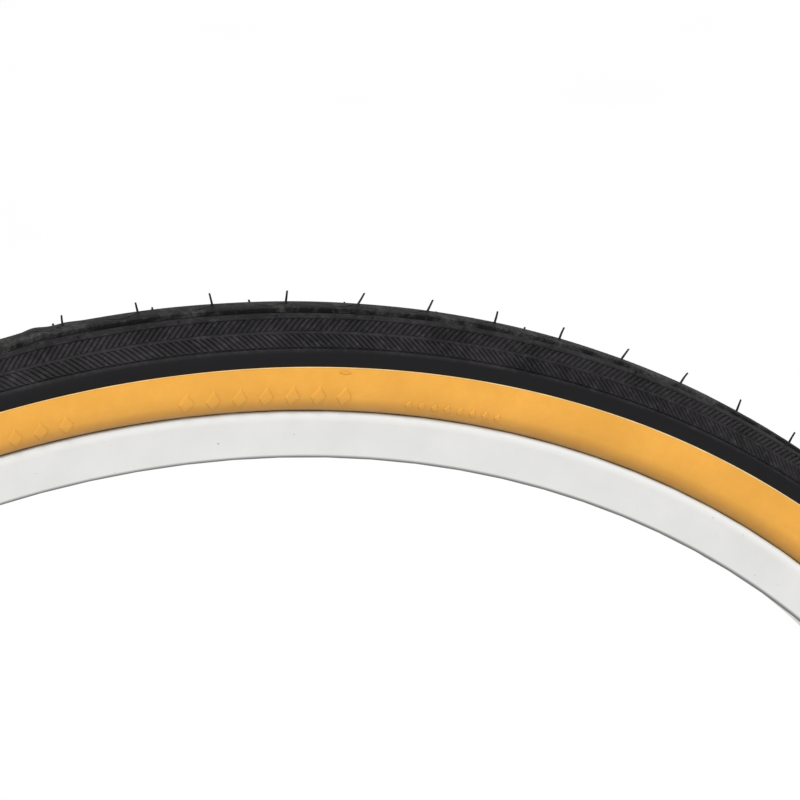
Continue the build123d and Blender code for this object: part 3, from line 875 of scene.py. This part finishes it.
def raised_lozenge(turn, down, wide, tall):
    """A plain raised lozenge on the sidewall, with a blunt top."""
    deselect()
    bpy.ops.mesh.primitive_cone_add(vertices=4, radius1=0.5, radius2=MARK_TOP, depth=1, location=(0, 0, 0.5))
    piece = name_new("lozenge_mark")
    bpy.ops.object.transform_apply(location=True)
    rounded = piece.modifiers.new("rounded", "BEVEL")
    rounded.width = MARK_ROUND
    rounded.segments = 2
    bpy.ops.object.modifier_apply(modifier=rounded.name)
    bpy.ops.object.mode_set(mode="EDIT")
    bpy.ops.mesh.select_all(action="SELECT")
    bpy.ops.mesh.quads_convert_to_tris()
    bpy.ops.mesh.subdivide(number_cuts=4)
    bpy.ops.object.mode_set(mode="OBJECT")
    for vertex in piece.data.vertices:
        along, over, up = vertex.co
        vertex.co = Vector((along * wide, over * tall, up * (MARK_HEIGHT + MARK_SINK) - MARK_SINK))
    lay_on_wall(piece, turn, down)
    return piece


def make_marks(name):
    """Plain lozenges, raised a little out of the gum in four rows."""
    marks = []
    for first, step, count, down, wide, tall in MARK_ROWS:
        for place in range(count):
            marks.append(raised_lozenge(radians(first + step * place), down, wide, tall))
    piece = join_all(marks, name)
    clean_mesh(piece, 25)
    return piece


def make_gum_edge(name):
    """A fine hoop of gum that stands along the tread's edge."""
    across, out = section_point(GUM_RADIUS, TREAD_EDGE + GUM_EDGE_DROP / GUM_RADIUS)
    corners = [FULL_TURN * n / 8 for n in range(8)]
    outline = [(-(across + GUM_EDGE_BEAD * cos(turn)), out + GUM_EDGE_BEAD * sin(turn)) for turn in corners]
    return ring(name, outline, 80)


# ---- floor, light and camera ----


def make_floor():
    deselect()
    bpy.ops.mesh.primitive_plane_add(size=FLOOR_SIZE, location=(0, 0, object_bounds()[0][2] - FLOOR_DROP))
    floor = name_new("floor")
    paint = Paint("floor_white", (0.95, 0.95, 0.95), 0.9)
    paint.colour(paint.ramp(paint.noise(3, 2), (0.3, 0.94), (0.7, 0.96)))
    floor.data.materials.append(paint.material)


def light_scene():
    """An even white studio, with one broad light high on the left in front."""
    world = bpy.data.worlds.new("studio")
    world.use_nodes = True
    world.node_tree.nodes["Background"].inputs["Color"].default_value = (1, 1, 1, 1)
    world.node_tree.nodes["Background"].inputs["Strength"].default_value = 0.55
    bpy.context.scene.world = world
    bpy.context.scene.view_settings.view_transform = "Standard"
    deselect()
    bpy.ops.object.light_add(type="SUN", location=(-1, -2, 3))
    key = bpy.context.object
    key.name = "key"
    key.data.energy = 2.4
    key.data.angle = radians(20)
    key.rotation_euler = Vector(LIGHT_DIRECTION).to_track_quat("-Z", "Y").to_euler()


def place_camera():
    deselect()
    bpy.ops.object.camera_add()
    camera = bpy.context.object
    camera.name = "camera"
    camera.data.lens = CAMERA_LENS
    camera.data.sensor_width = 36
    turned = Matrix.Rotation(CAMERA_HEADING, 4, "Z") @ Matrix.Rotation(pi / 2 - CAMERA_DIP, 4, "X")
    rolled = turned @ Matrix.Rotation(CAMERA_ROLL, 4, "Z")
    camera.matrix_world = Matrix.Translation(CAMERA_PLACE) @ rolled
    bpy.context.scene.camera = camera


# ---- the tire ----

rubber = tread_rubber()
gum = gum_rubber()
edge = gum_edge_highlight()
metal = rim_metal()

finish_piece(make_tread_base(), rubber, "tread_rubber", "tread")
finish_piece(make_crown_rib(), crown_rubber(), "tread_rubber")
for band, start, end, lean in (("upper", SLOT_EDGE, SPINE_START, -1), ("lower", SPINE_END, LUG_EDGE, 1)):
    right = make_lugs("lugs_" + band + "_right", start, end, lean)
    left = mirror_across(right, "lugs_" + band + "_left")
    finish_piece(right, rubber, "tread_rubber")
    finish_piece(left, rubber, "tread_rubber")

finish_piece(make_seams(), rubber, "tread_rubber")
hairs_crown, hairs_shoulder = make_hairs()
finish_piece(hairs_crown, rubber, "tread_rubber", "vent_hairs_crown")
finish_piece(hairs_shoulder, rubber, "tread_rubber", "vent_hairs_shoulder")

wall_left = make_sidewall("gum_left")
wall_right = mirror_across(wall_left, "gum_right")
finish_piece(wall_left, gum, "gum_rubber", "gum_sidewall_left")
finish_piece(wall_right, gum, "gum_rubber", "gum_sidewall_right")
marks_left = make_marks("gum_marks_left")
marks_right = mirror_across(marks_left, "gum_marks_right")
finish_piece(marks_left, gum, "gum_rubber")
finish_piece(marks_right, gum, "gum_rubber")
edge_left = make_gum_edge("gum_edge_left")
edge_right = mirror_across(edge_left, "gum_edge_right")
finish_piece(edge_left, edge, "gum_rubber")
finish_piece(edge_right, edge, "gum_rubber")

slot_paint = {
    "gum_rubber": gum,
    "tread_rubber": rubber,
    "casing_cord": cord_cloth(),
    "bead_steel": steel("bead_steel", (0.5, 0.48, 0.45), 0.4),
    "inner_rubber": plain_rubber(),
    "rim_metal": metal,
    "eyelet_steel": steel("eyelet_steel", (0.7, 0.7, 0.7), 0.3),
    "valve_brass": steel("valve_brass", (0.74, 0.6, 0.34), 0.32),
    "cap_plastic": cap_plastic(),
}
for part in frame["record"]["subparts"]:
    node = frame["nodes"][part["node"]]
    node.data.materials.clear()
    node.data.materials.append(slot_paint[part["material_slot"]])

make_floor()
light_scene()
place_camera()
